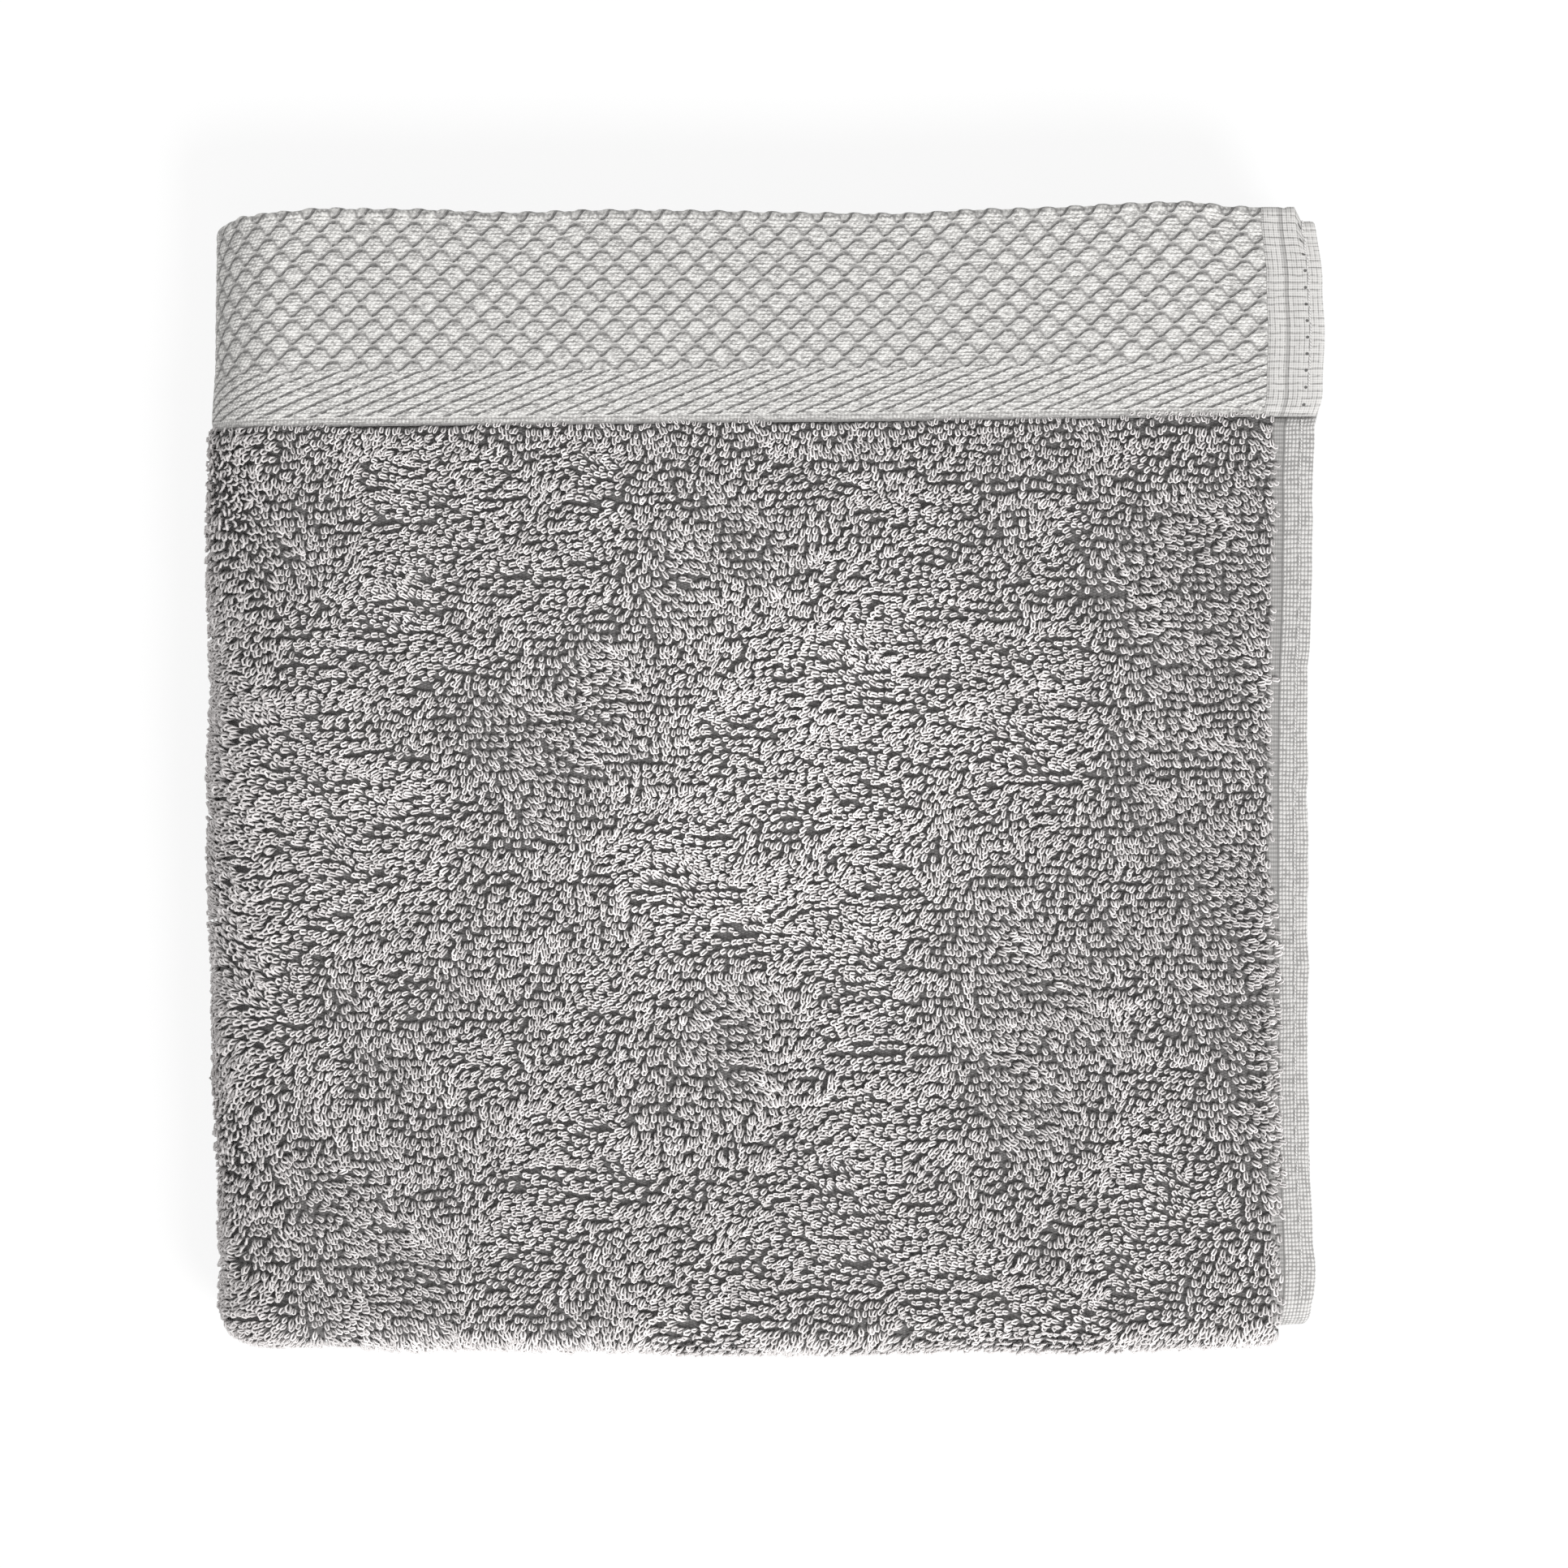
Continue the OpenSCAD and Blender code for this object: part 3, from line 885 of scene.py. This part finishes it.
for half in HALVES:
    step_s, step_x = (0.43, 0.8) if half == "upper" else (0.9, 1.3)
    s = border_line.steps(step_s)
    columns = round((border_high.x - edge_x) / step_x)
    x_values = np.linspace(edge_x, border_high.x, columns + 1)
    grid_x, grid_s = np.meshgrid(x_values, s)
    relief = border_relief(grid_x, border_line.length - grid_s)
    # The scales open a little where the border turns over the edge
    turn_mid = border_line.s[1] + turn_radius * math.pi / 2
    relief = relief * (1 + 0.2 * np.exp(-(((grid_s - turn_mid) / 2.2) ** 2))) - 0.26
    border = surface(
        f"{half}_woven_border", half, border_line, s, grid_x, border_t / 2 + relief, border_material
    )
    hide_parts(f"{half}_border")

    inner_line = Line((inner_low.y, layer_mid(2)), 0.0, [("run", inner_high.y - inner_low.y)])
    inner = strip(
        f"{half}_inner_woven_border", half, inner_line, 2.5, np.linspace(edge_x * 0.995, border_high.x, 60),
        border_t, border_material,
    )
    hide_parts(f"{half}_inner_border")

# ---------------------------------------------------------------------------
# The side hems: the selvedge turned over twice and sewn. Beside the terry it
# is a narrow plain-woven ribbon with a rolled rim; beside the border it is
# wider, ribbed, and has the seam's slit and needle holes.

side_t = 2.0
wide_t = 1.9
setback = 3.0
seam_x = right_x - 3.0
stitch_pitch = 4.05

hem_line = Line((border_low.y + under_border, layer_mid(3)), math.pi, [
    ("run", border_low.y + under_border - far_y - setback),
    ("turn", 1.5 * layer_pitch, math.pi),
    ("run", inner_y - far_y - 2 * setback),
    ("turn", layer_pitch / 2, math.pi),
    ("run", inner_y - far_y - 2 * setback),
    ("turn", layer_pitch / 2, -math.pi),
    ("run", inner_low.y - far_y - setback),
])

hem_material, w, shader = cotton("hem_weave")
across, along = w.cloth_place()
wobble = w.noise(220.0, 2.0) - 0.5
warp = ((across + wobble * 0.5) / 0.78).wave() * 0.9 + 0.1
weft = ((along + wobble * 0.7) / 0.97).wave()
rough = w.noise(600.0, 1.0)
grid = warp * (weft * 0.9 + 0.1) * (rough.eased(0.25, 0.75) * 0.7 + 0.45) + rough.eased(0.3, 0.7) * 0.06
# Painted shadow: the smooth strip beside the pile is coloured dark, where the pile's shade falls on it; the
# weave begins at its outer edge.
strip_edge = across.eased(2.9, 3.1)
weave = grid * strip_edge + (1 - strip_edge) * (0.04 + weft * 0.16 + (across / 0.6).wave() * 0.08)
pale = w.blend(weave.eased(0.02, 0.45), (0.24, 0.235, 0.23), (0.57, 0.56, 0.548))
# Painted shade in the crease along the strip's edge.
crease_shade = across.eased(2.6, 2.85) * across.eased(3.2, 2.95)
w.blend(crease_shade * 0.75, pale, (0.14, 0.137, 0.134)).into(shader["Base Color"])
w.bump(weave * 0.14 + wobble * 0.2).into(shader["Normal"])

wide_material, w, shader = cotton("border_hem_weave")
across, along = w.cloth_place()
wobble = w.noise(220.0, 2.0) - 0.5
rough = w.noise(520.0, 1.0)
rib = ((along + wobble * 0.8) / 1.75).fraction()
rib_line = rib.smallest(1 - rib).eased(0.19, 0.0) * rough.eased(0.2, 0.6)
post = ((across + wobble * 0.5) / 1.05).fraction()
post_line = post.smallest(1 - post).eased(0.24, 0.0) * rough.eased(0.7, 0.35)
fine = (across / 0.52).wave() * 0.5 + (along / 0.58).wave() * 0.5
slit = across.eased(4.3, 4.6) * across.eased(5.5, 5.1)
weave = 0.5 + fine * 0.4 - rib_line * 0.42 - post_line * 0.26
pale = w.blend(weave.eased(0.1, 0.85), (0.20, 0.195, 0.19), (0.585, 0.575, 0.56))
hole = ((along / stitch_pitch).fraction() - 0.5) * stitch_pitch
off = across - (seam_x - border_high.x)
hole = (hole * hole + off * off).eased(0.16, 0.05)
marks = (slit * 0.4).largest(hole * 0.9)
w.blend(marks, pale, (0.07, 0.068, 0.066)).into(shader["Base Color"])
w.bump(weave * 0.16 - hole * 0.3 - slit * 0.15 + wobble * 0.2).into(shader["Normal"])

side_hems = {}
for half in HALVES:
    low = terry_x - 0.6
    ribbon_x = np.array([low, low + 0.9, 117.3, 117.8, 119.5, 122.0, 123.7, 124.5, 124.9, 125.0])
    height = np.array([0.35, 0.55, 0.55, 0.92, 0.96, 0.94, 1.0, 0.8, 0.4, 0.0])
    x_around = np.concatenate([ribbon_x, ribbon_x[-2::-1]])
    out_around = np.concatenate([height, -height[-2::-1]]) * side_t / 2
    s = hem_line.steps(4.0)
    out = out_around[None, :] * rounded(np.minimum(s, hem_line.length - s), 0.6)[:, None]
    rim = np.clip((x_around - 120) / 5, 0, 1)
    sway = 0.35 * drift(s, s * 0, 9, 61) + 0.25 * drift(s, s * 0, 3.5, 62)
    grid_x = x_around[None, :] + rim[None, :] * sway[:, None]
    out = out + 0.12 * drift(grid_x * 3, np.broadcast_to(s[:, None], grid_x.shape), 11, 63)
    side_hem = surface(
        f"{half}_side_hem_ribbon", half, hem_line, s, grid_x, out, hem_material, around=True, bake_rows=5
    )
    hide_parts(f"{half}_side_hem")

    low = border_high.x - 0.4
    ribbon_x = np.array([low, low + 0.6, 115.2, 117.0, 117.9, 118.3, 119.0, 120.5,
                         122.0, 122.5, 122.8, 123.8, 124.6, 124.9, 125.0])
    height = np.array([0.2, 0.78, 0.86, 0.86, 0.7, 0.62, 0.97, 1.0,
                       0.93, 0.97, 0.95, 1.0, 0.85, 0.45, 0.0])
    x_around = np.concatenate([ribbon_x, ribbon_x[-2:0:-1]])
    out_around = np.concatenate([height, -0.8 * height[-2:0:-1]]) * wide_t / 2
    s = border_line.steps(1.5)
    grid_s = np.broadcast_to(s[:, None], (len(s), len(x_around)))
    grid_x = np.broadcast_to(x_around[None, :], grid_s.shape)
    line_y = border_line.at(grid_s)[0]
    # The cut corner is stepped back beyond the seam
    notch = 3.3 * np.clip((grid_x - 121.2) / 0.3, 0, 1) * np.clip((line_y - 116) / 9, 0, 1) ** 2
    out = out_around[None, :] * rounded(np.minimum(s, border_line.length - s), 0.6)[:, None]
    wide = surface(
        f"{half}_border_side_hem", half, border_line, s, grid_x, out - 0.05, wide_material,
        around=True, back=notch,
    )
    side_hems[half] = [side_hem, wide]

# ---------------------------------------------------------------------------
# The end hems: each end of the cloth turned over twice and sewn, flat across
# the whole width. One lies under the outer border, one ends the inner border.

end_hem_t = 2.4


def end_hem_line(label):
    """The middle of an end hem, end or inner_end, from its first edge to its second."""
    low, high = (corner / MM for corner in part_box(f"upper_{label}_hem"))
    middle = layer_mid(2) if label == "inner_end" else border_out - wide_t - layer_gap - end_hem_t / 2
    return Line((low.y, middle), 0.0, [("run", high.y - low.y)]), high.x


for half in HALVES:
    for label in ("end", "inner_end"):
        line, hem_x = end_hem_line(label)
        x_values = np.linspace(edge_x * 0.995, hem_x, 60)
        hem = strip(f"{half}_{label}_hem_ribbon", half, line, 1.5, x_values, end_hem_t, hem_material, 1.1)
        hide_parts(f"{half}_{label}_hem")

# ---------------------------------------------------------------------------
# The sewing: lockstitches in soft spun thread that sink into the hems, one row
# along each side hem and one along each end hem.


def stitch_tree():
    """Geometry nodes that lay one arched stitch on each point, along its run."""
    tree = bpy.data.node_groups.new("stitches", "GeometryNodeTree")
    sockets = tree.interface
    sockets.new_socket("Geometry", in_out="INPUT", socket_type="NodeSocketGeometry")
    for name in ("Stitch length", "Thread thickness", "Arch height"):
        sockets.new_socket(name, in_out="INPUT", socket_type="NodeSocketFloat")
    sockets.new_socket("Material", in_out="INPUT", socket_type="NodeSocketMaterial")
    sockets.new_socket("Geometry", in_out="OUTPUT", socket_type="NodeSocketGeometry")
    w = Wire(tree)
    given = w.node("NodeGroupInput")
    length, thickness, rise = (given.out(n) for n in ("Stitch length", "Thread thickness", "Arch height"))
    straight = w.node("GeometryNodeCurvePrimitiveLine", (), {"Start": (0, -0.5, 0), "End": (0, 0.5, 0)})
    path = w.node("GeometryNodeResampleCurve", (), {"Curve": straight, "Count": 9})
    along = w.node("GeometryNodeSplineParameter")
    bow = (along * math.pi).sine() ** 0.6
    place = w.vector(bow * thickness * 0.12, (along - 0.5) * length, bow * rise - rise * 0.55)
    path = w.node("GeometryNodeSetPosition", (), {"Geometry": path, "Position": place})
    swell = (along * math.pi).sine() ** 0.35 * 0.6 + 0.4
    path = w.node("GeometryNodeSetCurveRadius", (), {"Curve": path, "Radius": swell})
    profile = w.node(
        "GeometryNodeCurvePrimitiveCircle", {"mode": "RADIUS"}, {"Resolution": 8, "Radius": thickness / 2}
    )
    mesh = w.node("GeometryNodeCurveToMesh", (), {0: path, 1: profile, "Fill Caps": True})
    stitch = w.node("GeometryNodeSetShadeSmooth", (), {"Geometry": mesh})
    out = w.node("GeometryNodeInputNamedAttribute", {"data_type": "FLOAT_VECTOR"}, {"Name": "out"})
    run = w.node("GeometryNodeInputNamedAttribute", {"data_type": "FLOAT_VECTOR"}, {"Name": "run"})
    turned = w.node(
        "FunctionNodeAxesToRotation", {"primary_axis": "Z", "secondary_axis": "Y"}, {0: out, 1: run}
    )
    laid = w.node(
        "GeometryNodeInstanceOnPoints", (),
        {"Points": given.out("Geometry"), "Instance": stitch, "Rotation": turned},
    )
    made = w.node("GeometryNodeRealizeInstances", (), {0: laid})
    made = w.node("GeometryNodeSetMaterial", (), {"Geometry": made, "Material": given.out("Material")})
    made.into(tree.nodes.new("NodeGroupOutput").inputs[0])
    return tree


stitches_tree = stitch_tree()
thread_material, w, shader = cotton("sewing_thread")
plies = w.node(
    "ShaderNodeTexWave", {"bands_direction": "DIAGONAL"},
    {"Vector": w.node("ShaderNodeTexCoord", (), (), 3), "Scale": 900.0, "Distortion": 1.0},
)
w.blend(plies.eased(0.1, 0.8), (0.36, 0.352, 0.345), (0.66, 0.65, 0.637)).into(shader["Base Color"])
w.bump(plies * 0.06).into(shader["Normal"])
stitch_sizes = {
    "Stitch length": 3.1 * MM, "Thread thickness": 0.46 * MM, "Arch height": 0.3 * MM,
    "Material": thread_material,
}


def sew(name, half, node, rows):
    """Stitches in rows of (line, distances or one distance, x or many, height over the line's middle)."""
    side = HALVES[half]
    points, out, run = [], [], []
    for line, s, x, height in rows:
        s, x = np.broadcast_arrays(np.asarray(s, dtype=float), np.asarray(x, dtype=float))
        y, r, ny, nr = line.at(s, height)
        points.append(settled(over_the_fold(side, x, y, r)))
        out.append(outwards(side, x, ny, nr))
        along = np.stack([np.zeros(len(s)), -nr, side * ny], axis=1)
        run.append(along if np.ptp(x) == 0 else np.tile([1.0, 0.0, 0.0], (len(s), 1)))
    points, out, run = (np.concatenate(part) for part in (points, out, run))
    piece = laid(name, half, stitches_tree, stitch_sizes, points, out=out, run=run)
    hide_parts(node)
    return piece


end_x = np.arange(fold_x + 2, border_high.x - 2, stitch_pitch)
for half in HALVES:
    beside_terry = np.arange(4, hem_line.s[1] - 1, stitch_pitch)
    # In step with the needle holes of the wide hem
    beside_border = np.arange(math.ceil(18 / stitch_pitch), math.floor(64 / stitch_pitch)) * stitch_pitch
    side_seam = sew(f"{half}_side_seam", half, f"{half}_side_stitching", [
        (hem_line, beside_terry, seam_x, side_t / 2 - 0.06),
        (border_line, beside_border, seam_x, 0.78),
    ])
    for label in ("end", "inner_end"):
        row = (end_hem_line(label)[0], 3.0, end_x, end_hem_t / 2)
        sew(f"{half}_{label}_seam", half, f"{half}_{label}_stitching", [row])

    side_hem, wide = side_hems[half]

# ---------------------------------------------------------------------------
# The box of the finished towel, soft cloth and loops included.

low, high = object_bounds()
